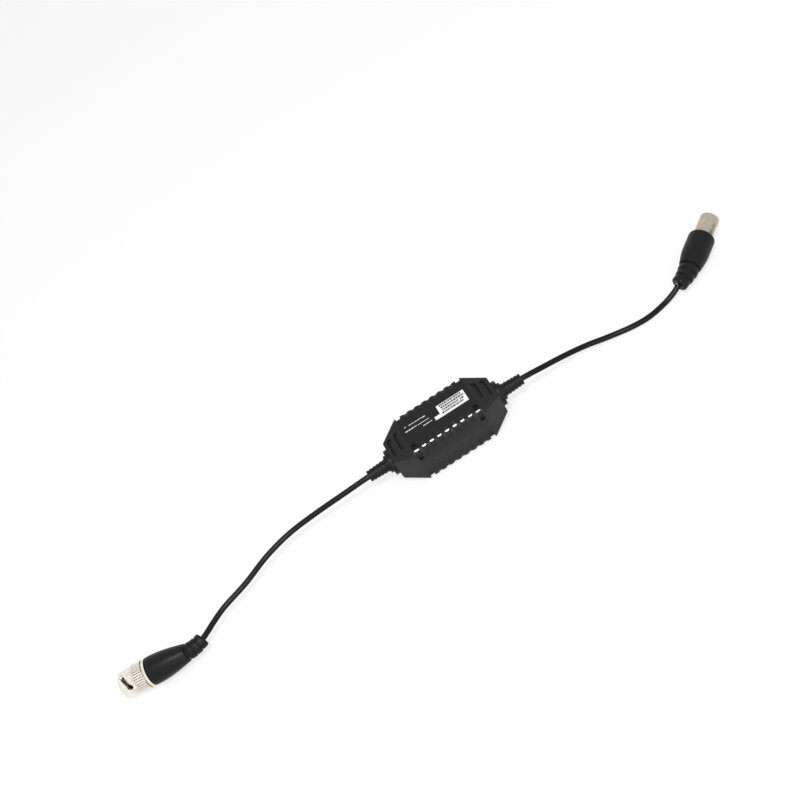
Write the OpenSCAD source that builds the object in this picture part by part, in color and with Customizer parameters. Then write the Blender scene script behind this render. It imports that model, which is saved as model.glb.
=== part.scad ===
// Video ground loop isolator
// A two-piece moulded housing holds an isolating transformer. A short coaxial lead with a
// bayonet plug leaves one end, and a short coaxial lead with a bayonet jack leaves the other.
// Millimetres. The housing stands on z = 0, centred, with +X towards the jack lead.

/* [Housing] */
// Length of the full-section middle of the housing
mid_l = 38.5; // [36:0.5:60]
// Length of each tapered end
taper_l = 10.75; // [9.5:0.25:18]
// Width of the middle section
body_w = 28; // [26:0.5:40]
// Height of the middle section
body_h = 22.5; // [21:0.5:32]
// Width of each end face
end_w = 14.4; // [14:0.2:18]
// Height of each end face
end_h = 14.4; // [14:0.2:18]
// Wall thickness of both shells
wall = 1.8; // [1.4:0.1:2.4]
// Radius of the long edges of the middle section
edge_r = 3; // [2.6:0.1:4]
// Radius of the edges of the end faces
end_r = 1; // [0.6:0.1:2]
// Thickness of the tongue that locates the shells
tongue_t = 0.8; // [0.5:0.1:1]
// Height of the tongue
tongue_h = 1.4; // [0.8:0.1:2.5]
// Clearance round the tongue
tongue_gap = 0.1; // [0.05:0.05:0.3]

/* [Grip ribs] */
// Distance from one rib to the next
rib_pitch = 4.3; // [3.8:0.1:5]
// Number of valleys along each edge
valley_count = 7; // [3:1:7]
// Width of a valley between two ribs
valley_w = 2.6; // [2:0.1:3.2]
// Depth of a valley
valley_d = 0.5; // [0.3:0.05:0.8]
// Distance of the deep notches from the centre
notch_x = 17.3; // [16.8:0.1:17.8]
// Width of a deep notch
notch_w = 2.4; // [1.6:0.1:2.6]
// Depth of a deep notch
notch_d = 1; // [0.6:0.1:1.2]
// Reach of a deep notch past the rounded edge
notch_reach = 3.2; // [2:0.1:5]

/* [End slots] */
// Width of a slot on a tapered end
slot_w = 2.4; // [1.6:0.1:3]
// Length of a slot on a tapered end
slot_l = 11.8; // [8:0.2:13]
// Depth of a slot
slot_d = 0.8; // [0.4:0.1:1.1]
// Distance of the first slot from the middle section
slot_first = 3.4; // [2.6:0.1:4]
// Distance from the first slot to the second
slot_pitch = 4.6; // [4:0.1:5.4]

/* [Label] */
// Length of the label
label_l = 15.4; // [8:0.2:18]
// Width of the label
label_w = 7.8; // [4:0.2:10]
// Thickness of the label
label_t = 0.2; // [0.1:0.05:0.4]
// Distance of the label's left edge from the centre
label_x = 1.5; // [0:0.1:2.5]
// Length of the narrow tongue on the label's left
label_tab_l = 3.3; // [2:0.1:6]
// Width of that tongue
label_tab_w = 2.2; // [1:0.1:4]

/* [Strain reliefs] */
// Diameter of the collar against the end face
collar_d = 13.4; // [11:0.1:13.8]
// Thickness of the collar
collar_t = 2.1; // [1.5:0.1:3]
// Diameter of the step outside the collar
step_d = 9.2; // [8:0.1:10.5]
// Thickness of the step
step_t = 1.5; // [1:0.1:2.5]
// Length of the ringed sleeve
sleeve_l = 10.6; // [8:0.2:16]
// Diameter of the sleeve at the step
sleeve_d = 6.8; // [6:0.1:7.5]
// Diameter of the sleeve at its tip
sleeve_tip_d = 5.9; // [5:0.1:6.4]
// Number of rings on the sleeve
sleeve_rings = 6; // [3:1:7]
// Depth of the grooves between rings
ring_groove_d = 0.3; // [0.2:0.05:0.8]
// Diameter of the neck in the housing wall
neck_d = 8; // [7:0.1:8.8]
// Diameter of the flange inside the housing
inner_flange_d = 9.8; // [9.4:0.1:10.6]
// Thickness of the flange inside the housing
inner_flange_t = 1.4; // [1:0.1:2]
// Clearance of the neck in the wall
neck_gap = 0.1; // [0.05:0.05:0.2]

/* [Leads] */
// Diameter of the coaxial lead
lead_d = 2.9; // [2.4:0.1:3.2]
// Diameter of the lead's inner insulation
core_d = 1.6; // [1.2:0.1:1.8]
// Diameter of the lead's inner conductor
wire_d = 0.5; // [0.3:0.05:0.6]

/* [Circuit board] */
// Length of the board
board_l = 32; // [31:0.5:34]
// Width of the board
board_w = 18; // [17:0.5:20]
// Thickness of the board
board_t = 1.6; // [1:0.1:2]
// Height of the board's underside above the floor
board_z = 5.6; // [4:0.1:6.5]
// Distance of the fixing pegs from the board's edges
peg_inset = 2.2; // [2:0.1:2.6]
// Diameter of the fixing pegs
peg_d = 1.8; // [1.4:0.1:2]
// Clearance round a peg
peg_gap = 0.1; // [0.05:0.05:0.2]
// Diameter of the posts under the board
post_d = 3.6; // [3:0.1:4]

/* [Transformer] */
// Outside diameter of the ferrite ring
ferrite_od = 13; // [12:0.1:14]
// Inside diameter of the ferrite ring
ferrite_id = 6.6; // [6:0.1:7]
// Height of the ferrite ring
ferrite_h = 5.4; // [4:0.1:7]
// Diameter of the winding wire
turn_d = 0.6; // [0.4:0.05:0.7]
// Turns in each winding
turns = 7; // [4:1:7]
// Clearance between the wire and the ferrite
turn_gap = 0.15; // [0.1:0.05:0.3]
// Angle that each winding covers
winding_arc = 140; // [120:5:145]

/* [Small parts] */
// Diameter of the ceramic disc capacitors
disc_d = 4.4; // [3:0.1:5]
// Thickness of a disc capacitor
disc_t = 1.8; // [1.2:0.1:2.2]
// Distance between a capacitor's legs
leg_pitch = 2.5; // [2:0.1:3]
// Diameter of the component legs
leg_d = 0.5; // [0.4:0.05:0.6]
// Length of the resistor's body
resistor_l = 3.8; // [3:0.1:4.5]
// Diameter of the resistor's body
resistor_d = 1.8; // [1.4:0.1:2]

/* [Coupling nut] */
// Length of the coupling nut
nut_l = 14.8; // [14.6:0.1:15.6]
// Outside diameter of the slotted front of the nut
nut_front_d = 13.3; // [12.8:0.1:13.6]
// Outside diameter of the fluted rear of the nut
nut_rear_d = 14.6; // [14:0.1:14.8]
// Length of the slotted front
nut_front_l = 7.8; // [7.2:0.1:9]
// Bore of the nut
nut_bore_d = 9.86; // [9.8:0.02:10]
// Number of flutes on the grip
flute_count = 36; // [24:1:40]
// Radius of a flute
flute_r = 0.4; // [0.3:0.05:0.5]
// Number of turned grooves across the flutes
knurl_grooves = 4; // [2:1:5]
// Length of the smooth ring at the nut's rear
rear_ring_l = 1.2; // [0.8:0.1:1.5]
// Width of the groove in front of that ring
rear_groove_w = 0.7; // [0.4:0.1:0.9]
// Width of the bayonet slot
slot_track_w = 2.2; // [2:0.1:2.4]
// Turn from the slot's mouth to its locking hole
slot_turn = 70; // [55:5:80]
// Distance of the slot's first bend from the rim
slot_bend = 1.9; // [1.6:0.1:2.2]
// Distance of the locking hole from the rim
lock_hole_s = 4.9; // [4.6:0.1:5.1]
// Diameter of the locking hole
lock_hole_d = 2.9; // [2.5:0.1:3.1]
// Angle of the slot's mouth round the nut
slot_mouth = 167; // [0:1:359]

/* [Plug] */
// Diameter of the plug's contact sleeve
sleeve_contact_d = 8.05; // [7.9:0.01:8.1]
// Inside diameter of the contact sleeve
sleeve_contact_id = 7; // [6.8:0.1:7.2]
// Distance of the contact sleeve behind the nut's rim
sleeve_set_back = 0.8; // [0.4:0.1:1.4]
// Diameter of the centre pin
pin_d = 1.35; // [1.32:0.01:1.37]
// Distance of the pin's tip behind the nut's rim
pin_set_back = 1.9; // [1.5:0.1:2.5]
// Distance of the plug's gasket behind the nut's rim
gasket_s = 10.1; // [9.9:0.1:10.3]
// Thickness of the gasket
gasket_t = 0.7; // [0.5:0.1:0.8]
// Thickness of the body's flange
flange_t = 0.9; // [0.7:0.1:1]
// Thickness of the spring washer
washer_t = 0.5; // [0.3:0.05:0.55]
// Thickness of the lip inside the nut
lip_t = 0.9; // [0.7:0.1:1]
// Thickness of the snap ring behind the lip
snap_ring_t = 0.6; // [0.4:0.05:0.7]
// Running clearance between the nut and what it turns on
nut_gap = 0.08; // [0.05:0.01:0.1]
// Diameter of the body where the nut turns on it
bearing_d = 8.4; // [8.3:0.1:8.8]

/* [Plug boot] */
// Diameter of the plug boot at its front
boot_d = 14.2; // [13.6:0.1:14.4]
// Length of the boot's tapered part
boot_l = 19.7; // [18:0.1:26]
// Diameter where the tapered part ends
boot_waist_d = 8.9; // [8.6:0.1:9.6]
// Diameter of the boot's tail
boot_tail_d = 8; // [7:0.1:8.6]
// Length of the boot's tail
boot_tail_l = 9.8; // [7:0.2:12]
// Bend of the tail towards the housing
boot_bend = 17; // [0:0.5:20]

/* [Jack] */
// Outside diameter of the jack's barrel
barrel_d = 9.65; // [9.6:0.01:9.7]
// Bore of the jack's barrel
barrel_id = 8.12; // [8.1:0.01:8.15]
// Length of barrel ahead of the boot
barrel_l = 11.9; // [9:0.1:12.5]
// Diameter of a bayonet stud
stud_d = 2; // [1.91:0.01:2.06]
// Size across both studs
stud_across = 11.05; // [10.97:0.01:11.07]
// Distance of the studs behind the rim
stud_s = 5.2; // [4.8:0.1:5.3]
// Angle of the studs round the barrel
stud_angle = 293; // [0:1:359]
// Outside diameter of the socket contact
socket_d = 2.3; // [2.1:0.1:2.5]
// Outside diameter of the jack's insulating sleeve
jack_sleeve_d = 4.7; // [4.6:0.02:4.76]

/* [Jack boot] */
// Diameter of the jack boot at its widest
jack_boot_d = 13.4; // [12.6:0.1:13.8]
// Length of the boot's main part
jack_boot_l = 19.4; // [18:0.1:26]
// Diameter where the main part ends
jack_waist_d = 10.9; // [10.4:0.1:11.8]
// Length of the boot's tail
jack_tail_l = 11.8; // [9:0.2:15]
// Diameter of the tail at its end
jack_tail_d = 8.4; // [7.4:0.1:8.8]
// Bend of the tail towards the housing
jack_bend = 9.5; // [0:0.5:12]

/* [Where the ends lie] */
// Place of the plug's rim along X
plug_x = -195.5; // [-197:0.5:-194]
// Place of the plug's rim along Y
plug_y = -24.4; // [-26:0.1:-23]
// Turn of the plug about the vertical
plug_yaw = 6.1; // [5:0.1:7]
// Place of the jack's rim along X
jack_x = 169.2; // [168:0.2:171]
// Place of the jack's rim along Y
jack_y = 25.4; // [24:0.1:26]
// Turn of the jack about the vertical
jack_yaw = 37.2; // [36:0.1:39]
// Rise of the jack towards its rim
jack_tilt = 3.2; // [2:0.1:4]

/* [Hidden] */
$fn = 64;

// Small shared clearances
seat_gap = 0.02;
form_step = 0.01;
slot_round = 0.04;

// Housing
mid_z = body_h/2;
end_x = mid_l/2 + taper_l;
taper_angle = atan2((body_h - end_h)/2, taper_l);
valley_r = (valley_w*valley_w/4 + valley_d*valley_d)/(2*valley_d);
cut_clear = 3;

// Strain reliefs, measured from the housing's centre outwards
relief_in = end_x - wall - inner_flange_t - seat_gap;
relief_neck = end_x - wall - seat_gap;
relief_collar = end_x + collar_t;
relief_step = relief_collar + step_t;
relief_tip = relief_step + sleeve_l;

// Circuit board and what stands on it
board_top = board_z + board_t;
peg_x = board_l/2 - peg_inset;
peg_y = board_w/2 - peg_inset;
pad_x = board_l/2 - 1.6;
pad_y = 3.4;
joint_r = 0.7;
joint_h = 0.5;
turn_r = turn_d/2;
ferrite_z = board_top + turn_d + 2*turn_gap;
core_strip = 3;
stem_l = 8;
disc_x = 11.2;
resistor_y = 5.6;
resistor_leg = 1.2;

// Plug, measured back from the nut's rim
flange_s = gasket_s + gasket_t;
washer_s = flange_s + flange_t + nut_gap;
lip_s = washer_s + washer_t + nut_gap;
snap_ring_s = lip_s + lip_t + nut_gap;
boot_s = nut_l + 0.3;
flange_d = nut_bore_d - 4*nut_gap;
stem_s = boot_s + 3;
stem_d = 4.6;
stem_bore = core_d + 0.2;
stem_end = stem_s + stem_l;
crimp_t = 0.5;
crimp_l = 7;
shoulder_d = 10.4;
boot_full_l = 1.3;
boot_groove = 0.5;
boot_end = boot_s + boot_l;
tail_groove = 0.7;
tail_start = 1.1;
ring_share = 0.55;
tail_share = 0.8;
insulator_front = sleeve_set_back + 0.5;
insulator_step = gasket_s;
insulator_end = stem_s - 1;
cavity_end = insulator_step - 2.8;
cup_d = 2;
pin_step = insulator_step + 0.4;

// Jack, measured back from its rim
jack_boot_s = barrel_l;
jack_shoulder_r = 1.8;
jack_full_l = 8;
jack_dome_r = 1.2;
jack_body_s = jack_boot_s + jack_shoulder_r;
jack_waist_s = jack_boot_s + jack_boot_l;
jack_profile = concat(
    [for (a = [0 : 15 : 90])
        [jack_boot_d/2 - jack_shoulder_r*(1 - sin(a)), jack_body_s - jack_shoulder_r*cos(a)]],
    [for (i = [0 : 8]) [jack_waist_d/2 + (jack_boot_d - jack_waist_d)/2*cos(90*i/8),
        jack_body_s + jack_full_l + (jack_waist_s - jack_body_s - jack_full_l)*i/8]]);
barrel_floor = barrel_l + 1;
barrel_end = barrel_l + 5;
jack_stem_end = barrel_end + stem_l;
jack_flange_d = 10.8;
sleeve_front = 0.4;
socket_front = 0.6;

// How the plug and the jack rest on the floor
plug_z = nut_rear_d/2 + seat_gap;
jack_z = max([for (p = jack_profile) p[0]*cos(jack_tilt) + p[1]*sin(jack_tilt)]) + seat_gap;

// Where the boots end and which way they point there
plug_back = [cos(plug_yaw), -sin(plug_yaw), 0];
tail_back = [cos(boot_bend - plug_yaw), sin(boot_bend - plug_yaw), 0];
plug_exit = [plug_x, plug_y, plug_z] + boot_end*plug_back + boot_tail_l*tail_back;
jack_back = yawed([-cos(jack_tilt), 0, -sin(jack_tilt)], jack_yaw);
jack_tail_back = yawed([-cos(jack_tilt)*cos(jack_bend), sin(jack_bend),
    -sin(jack_tilt)*cos(jack_bend)], jack_yaw);
jack_exit = [jack_x, jack_y, jack_z] + jack_waist_s*jack_back + jack_tail_l*jack_tail_back;

// Routes of the leads between the strain reliefs and the boots
plug_route = [[-48, 0, 11.2], [-60, 0, 10.6], [-76, 0, 9.8], [-92, -1, 9], [-107, -5, 8.4],
    [-122, -12, 7.9], [-136, -17, 7.5], [-143.8, -21.4, 7.4], [-147.8, -24.1, 7.3]];
jack_route = [[48, 0, 11], [56, 0.4, 9.6], [68, 1.4, 7], [80, 1.8, 4.2], [92, 0.3, 2.2],
    [104, -2, 1.7], [114, -2.5, 1.6], [124, -0.9, 2.1], [130.2, 0, 4]];
route_steps = 2;
lead_sides = 8;
turn_sides = 6;

// Sweep of a round section along a list of points

function unit(v) = v/norm(v);

function yawed(v, a) = [v.x*cos(a) - v.y*sin(a), v.x*sin(a) + v.y*cos(a), v.z];

function spline_at(a, b, c, d, t) =
    0.5*((2*b) + (c - a)*t + (2*a - 5*b + 4*c - d)*t*t + (3*b - a - 3*c + d)*t*t*t);

function smooth(p, n) = [
    for (i = [0 : len(p) - 2], j = [0 : n - 1])
        spline_at(p[max(i - 1, 0)], p[i], p[i + 1], p[min(i + 2, len(p) - 1)], j/n),
    p[len(p) - 1]
];

function direction(p, i) = unit(p[min(i + 1, len(p) - 1)] - p[max(i - 1, 0)]);

function ring(centre, along, aside, r, sides) =
    let (s = unit(cross(along, aside)), n = cross(along, s))
    [for (k = [0 : sides - 1]) centre + r*(cos(360*k/sides)*s + sin(360*k/sides)*n)];

function skin_faces(rings, sides) = let (end = (rings - 1)*sides) concat(
    [for (k = [1 : sides - 2]) [0, k, k + 1]],
    [for (i = [0 : rings - 2], k = [0 : sides - 1])
        let (a = i*sides, b = (i + 1)*sides, m = (k + 1) % sides)
        each [[a + k, b + k, b + m], [a + k, b + m, a + m]]],
    [for (k = [1 : sides - 2]) [end, end + k + 1, end + k]]
);

module skin(rings, sides) {
    polyhedron(points = [for (r = rings) each r], faces = skin_faces(len(rings), sides), convexity = 10);
}

// A lead starts and ends square to the faces that it meets
module lead(exit, exit_way, route, end, end_way) {
    path = smooth(concat([exit], route, [end]), route_steps);
    last = len(path) - 1;
    skin([for (i = [0 : last])
        ring(path[i], i == 0 ? exit_way : i == last ? end_way : direction(path, i),
            [0, 0, 1], lead_d/2, lead_sides)], lead_sides);
}

// A straight round rod between two points
module rod(a, b, d) {
    v = b - a;
    translate(a) rotate([0, acos(v.z/norm(v)), atan2(v.y, v.x)]) cylinder(d = d, h = norm(v));
}

// A round tube from s0 to s1 along the local axis
module tube(s0, s1, d_out, d_in) {
    translate([0, 0, s0]) difference() {
        cylinder(d = d_out, h = s1 - s0);
        translate([0, 0, -1]) cylinder(d = d_in, h = s1 - s0 + 2);
    }
}

// Housing

module corner_rect(w, h, r) {
    square([w - 2*r, h], center = true);
    square([w, h - 2*r], center = true);
    for (x = [-1, 1], y = [-1, 1]) translate([x*(w/2 - r), y*(h/2 - r)]) circle(r);
}

module along_x(x0, l) {
    translate([x0, 0, mid_z]) rotate([90, 0, 90]) linear_extrude(l) children();
}

// The housing's outer form, taken in by inset on every side
module housing_form(inset) {
    thin = 0.05;
    w = body_w - 2*inset;
    h = body_h - 2*inset;
    r = max(edge_r - inset, 0.4);
    along_x(-mid_l/2, mid_l) corner_rect(w, h, r);
    for (side = [0, 1]) mirror([side, 0, 0]) hull() {
        along_x(mid_l/2 - thin, thin) corner_rect(w - 2*form_step, h - 2*form_step, r);
        along_x(end_x - inset - thin, thin)
            corner_rect(end_w - 2*inset, end_h - 2*inset, max(end_r - inset, 0.4));
    }
}

module slab(z0, z1) {
    translate([-end_x - 1, -body_w/2 - 1, z0]) cube([2*end_x + 2, body_w + 2, z1 - z0]);
}

// Places its children at one long upper edge, with the edge's rounding centred on the origin
module at_edge(side) {
    mirror([0, side, 0]) translate([0, -body_w/2 + edge_r, body_h - edge_r]) children();
}

module quarter_sweep() {
    rotate([0, 90, 0]) rotate([0, 0, 180]) rotate_extrude(angle = 90) children();
}

module valley() {
    path_r = edge_r - valley_d + valley_r;
    quarter_sweep() translate([path_r, 0]) circle(valley_r);
    translate([0, 0, path_r]) sphere(valley_r);
    translate([0, -path_r, 0]) sphere(valley_r);
}

module notch() {
    floor_r = edge_r - notch_d;
    run = notch_reach - notch_w/2;
    deep = notch_d + cut_clear;
    quarter_sweep() translate([floor_r, -notch_w/2]) square([deep, notch_w]);
    translate([-notch_w/2, 0, floor_r]) cube([notch_w, run, deep]);
    translate([0, run, floor_r]) cylinder(d = notch_w, h = deep);
    translate([-notch_w/2, -floor_r - deep, -run]) cube([notch_w, deep, run]);
    translate([0, -floor_r, -run]) rotate([90, 0, 0]) cylinder(d = notch_w, h = deep);
}

module grip_cuts() {
    for (side = [0, 1]) at_edge(side) {
        for (i = [0 : valley_count - 1])
            translate([(i - (valley_count - 1)/2)*rib_pitch, 0, 0]) valley();
        for (x = [-notch_x, notch_x]) translate([x, 0, 0]) notch();
    }
}

module end_slot() {
    for (y = [-1, 1]) translate([0, y*(slot_l - slot_w)/2, -slot_d])
        cylinder(d = slot_w, h = slot_d + cut_clear);
    translate([-slot_w/2, -(slot_l - slot_w)/2, -slot_d])
        cube([slot_w, slot_l - slot_w, slot_d + cut_clear]);
}

module end_slots() {
    for (side = [0, 1]) mirror([side, 0, 0])
        translate([mid_l/2, 0, body_h]) rotate([0, taper_angle, 0])
            for (d = [slot_first, slot_first + slot_pitch]) translate([d, 0, 0]) end_slot();
}

module neck_hole() {
    translate([-end_x - 1, 0, mid_z]) rotate([0, 90, 0]) cylinder(d = neck_d + 2*neck_gap, h = 2*end_x + 2);
}

module shell_cuts() {
    housing_form(wall);
    neck_hole();
    grip_cuts();
    end_slots();
}

module top_shell() {
    color([0.17, 0.17, 0.175]) difference() {
        intersection() {
            housing_form(0);
            slab(mid_z, body_h + 1);
        }
        shell_cuts();
        intersection() {
            housing_form(wall - tongue_t - tongue_gap);
            slab(mid_z - 1, mid_z + tongue_h + tongue_gap);
        }
    }
}

module posts() {
    for (x = [-peg_x, peg_x], y = [-peg_y, peg_y]) translate([x, y, 0]) {
        translate([0, 0, wall - 0.2]) cylinder(d = post_d, h = board_z - wall + 0.2);
        cylinder(d = peg_d, h = board_top + 0.6);
    }
}

module bottom_shell() {
    color([0.17, 0.17, 0.175]) {
        difference() {
            union() {
                intersection() {
                    housing_form(0);
                    slab(-1, mid_z);
                }
                intersection() {
                    housing_form(wall - tongue_t);
                    slab(mid_z - 1, mid_z + tongue_h);
                }
            }
            translate([0, 0, body_h]) mirror([0, 0, 1]) shell_cuts();
        }
        posts();
    }
}

module label() {
    bottom = label_w*0.42;
    color([0.93, 0.93, 0.92]) translate([0, 0, body_h]) {
        translate([label_x, -bottom, 0]) cube([label_l, label_w, label_t]);
        translate([label_x - label_tab_l, -bottom, 0]) cube([label_tab_l + 1, label_tab_w, label_t]);
    }
}

// Strain reliefs

// Outline of a ringed sleeve from one end to the other, with a groove after each ring but the last
function ringed(z0, z1, r0, r1, count, depth, share) = [
    for (i = [0 : count - 1])
        let (p = (z1 - z0)/(count - 1 + share), a = z0 + i*p, b = a + share*p, q = i/(count - 1),
            r = r0 + (r1 - r0)*q)
        each i == count - 1 ? [[r, a], [r, b]]
            : [[r, a], [r, b], [r - depth, b], [r - depth, a + p]]
];

module strain_relief() {
    color([0.12, 0.12, 0.125]) translate([0, 0, mid_z]) rotate([0, 90, 0]) rotate_extrude() polygon(concat(
        [[lead_d/2 + seat_gap, relief_in], [inner_flange_d/2, relief_in],
            [inner_flange_d/2, relief_neck], [neck_d/2, relief_neck], [neck_d/2, end_x + seat_gap],
            [collar_d/2, end_x + seat_gap], [collar_d/2, relief_collar - 0.4],
            [collar_d/2 - 0.4, relief_collar], [step_d/2, relief_collar], [step_d/2, relief_step]],
        ringed(relief_step, relief_tip, sleeve_d/2, sleeve_tip_d/2, sleeve_rings, ring_groove_d,
            ring_share),
        [[lead_d/2 + seat_gap, relief_tip]]));
}

module plug_strain_relief() {
    mirror([1, 0, 0]) strain_relief();
}

module jack_strain_relief() {
    strain_relief();
}

// Circuit board and transformer

module circuit_board() {
    color([0.1, 0.36, 0.2]) difference() {
        translate([-board_l/2, -board_w/2, board_z]) cube([board_l, board_w, board_t]);
        for (x = [-peg_x, peg_x], y = [-peg_y, peg_y])
            translate([x, y, board_z - 1]) cylinder(d = peg_d + 2*peg_gap, h = board_t + 2);
    }
}

module ferrite_core() {
    color([0.22, 0.22, 0.23]) translate([0, 0, ferrite_z])
        tube(0, ferrite_h, ferrite_od, ferrite_id);
}

// One lap of the wire round the ferrite's section, as radius and height
function lap(t) =
    let (off = turn_gap + turn_r, c = 0.25, in = ferrite_id/2 - off, out = ferrite_od/2 + off,
        low = ferrite_z - off, high = ferrite_z + ferrite_h + off,
        corners = [[in, low + c], [in, high - c], [in + c, high], [out - c, high],
            [out, high - c], [out, low + c], [out - c, low], [in + c, low]])
    corners[t % 8];

function winding_path(start) = [
    for (i = [0 : turns*8])
        let (q = lap(i), a = start + winding_arc*i/(turns*8)) [q[0]*cos(a), q[0]*sin(a), q[1]]
];

module winding(start) {
    path = winding_path(start);
    skin([for (i = [0 : len(path) - 1])
        ring(path[i], direction(path, i), unit(cross([0, 0, 1], [path[i].x, path[i].y, 0])),
            turn_r, turn_sides)], turn_sides);
}

module primary_winding() {
    color([0.72, 0.32, 0.14]) winding(180 - winding_arc/2);
}

module secondary_winding() {
    color([0.78, 0.45, 0.2]) winding(-winding_arc/2);
}

module disc_capacitor() {
    rise = 1.6;
    translate([0, disc_t/2, board_top + rise + disc_d/2]) rotate([90, 0, 0]) cylinder(d = disc_d, h = disc_t);
    for (x = [-leg_pitch/2, leg_pitch/2])
        rod([x, 0, board_top], [x, 0, board_top + rise + disc_d/2], leg_d);
}

module bypass_capacitors() {
    color([0.8, 0.5, 0.2]) for (x = [-disc_x, disc_x]) translate([x, 0, 0]) disc_capacitor();
}

module bleed_resistor() {
    height = board_top + resistor_d/2 + 0.3;
    reach = resistor_l/2 + resistor_leg;
    color([0.82, 0.72, 0.52]) translate([disc_x, -resistor_y, 0]) {
        rod([-resistor_l/2, 0, height], [resistor_l/2, 0, height], resistor_d);
        rod([-reach, 0, height], [reach, 0, height], leg_d);
        for (x = [-reach, reach]) rod([x, 0, board_top], [x, 0, height + leg_d/2], leg_d);
    }
}

module solder_joints() {
    color([0.75, 0.76, 0.78]) for (x = [-pad_x, pad_x], y = [-pad_y, pad_y])
        translate([x, y, board_top]) cylinder(r1 = joint_r, r2 = joint_r/2, h = joint_h);
}

// The lead's stripped end inside the housing, from the strain relief's tip to its two joints
module lead_end() {
    jacket_x = relief_in - 1;
    core_x = jacket_x - core_strip;
    joint_z = board_top + joint_h + wire_d/2 + seat_gap;
    color([0.85, 0.85, 0.82]) {
        rod([jacket_x, 0, mid_z], [relief_tip, 0, mid_z], lead_d);
        rod([core_x, 0, mid_z], [jacket_x + 0.5, 0, mid_z], core_d);
        rod([pad_x, pad_y, joint_z], [core_x + 0.5, 0, mid_z], wire_d);
        rod([pad_x, -pad_y, joint_z], [jacket_x + 0.5, -core_d/2 - 0.2, mid_z], wire_d);
    }
}

module plug_lead_end() {
    mirror([1, 0, 0]) lead_end();
}

module jack_lead_end() {
    lead_end();
}

// Leads

module plug_lead() {
    color([0.1, 0.1, 0.105])
        lead([-relief_tip, 0, mid_z], [-1, 0, 0], plug_route, plug_exit, -tail_back);
}

module jack_lead() {
    color([0.1, 0.1, 0.105])
        lead([relief_tip, 0, mid_z], [1, 0, 0], jack_route, jack_exit, -jack_tail_back);
}

// Plug: the local axis runs back from the nut's rim

module on_plug() {
    translate([plug_x, plug_y, plug_z]) rotate([0, 90, -plug_yaw]) children();
}

// The sloping middle of one bayonet slot, as a band swept round the nut
module slot_ramp() {
    steps = round(slot_turn/10);
    half_w = slot_track_w/2 - slot_round;
    low = 4.4;
    high = nut_front_d/2 + 1;
    skin([for (i = [0 : steps])
        let (a = slot_mouth + i*slot_turn/steps, s = slot_bend + (lock_hole_s - slot_bend)*i/steps,
            c = [cos(a), sin(a)], s0 = s - half_w, s1 = s + half_w)
        [[low*c.x, low*c.y, s0], [low*c.x, low*c.y, s1],
            [high*c.x, high*c.y, s1], [high*c.x, high*c.y, s0]]], 4);
}

module bayonet_slot() {
    inside = 4.4;
    reach = nut_front_d/2 + 1 - inside;
    slot_ramp();
    rotate([0, 0, slot_mouth]) translate([inside, 0, slot_bend]) {
        rotate([0, 90, 0]) cylinder(d = slot_track_w, h = reach);
        translate([0, -slot_track_w/2, -slot_bend - 1]) cube([reach, slot_track_w, slot_bend + 1]);
    }
    rotate([0, 0, slot_mouth + slot_turn]) translate([inside, 0, lock_hole_s])
        rotate([0, 90, 0]) cylinder(d = lock_hole_d, h = reach);
}

module coupling_nut() {
    edge = 0.3;
    cut = 0.22;
    rear_r = nut_rear_d/2;
    ring_s = nut_l - rear_ring_l;
    grip_s = nut_front_l + 2*edge;
    grip_l = ring_s - rear_groove_w - edge - grip_s;
    color([0.8, 0.8, 0.78]) on_plug() difference() {
        rotate_extrude() polygon(concat(
            [[nut_bore_d/2 + edge, 0], [nut_front_d/2 - edge, 0], [nut_front_d/2, edge],
                [nut_front_d/2, nut_front_l - edge], [rear_r - edge, nut_front_l],
                [rear_r, nut_front_l + edge]],
            [for (i = [0 : knurl_grooves - 1]) let (s = grip_s + (i + 0.5)*grip_l/knurl_grooves)
                each [[rear_r, s - cut], [rear_r - cut, s], [rear_r, s + cut]]],
            [[rear_r, ring_s - rear_groove_w], [rear_r - 2*edge, ring_s - rear_groove_w],
                [rear_r - 2*edge, ring_s], [rear_r - edge/2, ring_s], [rear_r, ring_s + edge/2],
                [rear_r, nut_l - edge], [rear_r - edge, nut_l], [nut_bore_d/2 + edge, nut_l],
                [nut_bore_d/2 + edge, lip_s + lip_t], [bearing_d/2 + nut_gap, lip_s + lip_t],
                [bearing_d/2 + nut_gap, lip_s], [nut_bore_d/2, lip_s], [nut_bore_d/2, edge]]));
        for (turn = [0, 180]) rotate([0, 0, turn]) bayonet_slot();
        for (i = [0 : flute_count - 1]) rotate([0, 0, i*360/flute_count])
            translate([rear_r + flute_r/3, 0, grip_s]) cylinder(r = flute_r, h = grip_l, $fn = 24);
    }
}

module spring_washer() {
    color([0.7, 0.68, 0.6]) on_plug()
        tube(washer_s, washer_s + washer_t, nut_bore_d - 4*nut_gap, bearing_d + 2*nut_gap);
}

module snap_ring() {
    gap_w = 1.6;
    groove_d = bearing_d - 0.8;
    color([0.6, 0.6, 0.6]) on_plug() difference() {
        tube(snap_ring_s, snap_ring_s + snap_ring_t, nut_bore_d, groove_d + 2*seat_gap);
        translate([0, -gap_w/2, snap_ring_s - 1]) cube([nut_rear_d, gap_w, snap_ring_t + 2]);
    }
}

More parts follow.
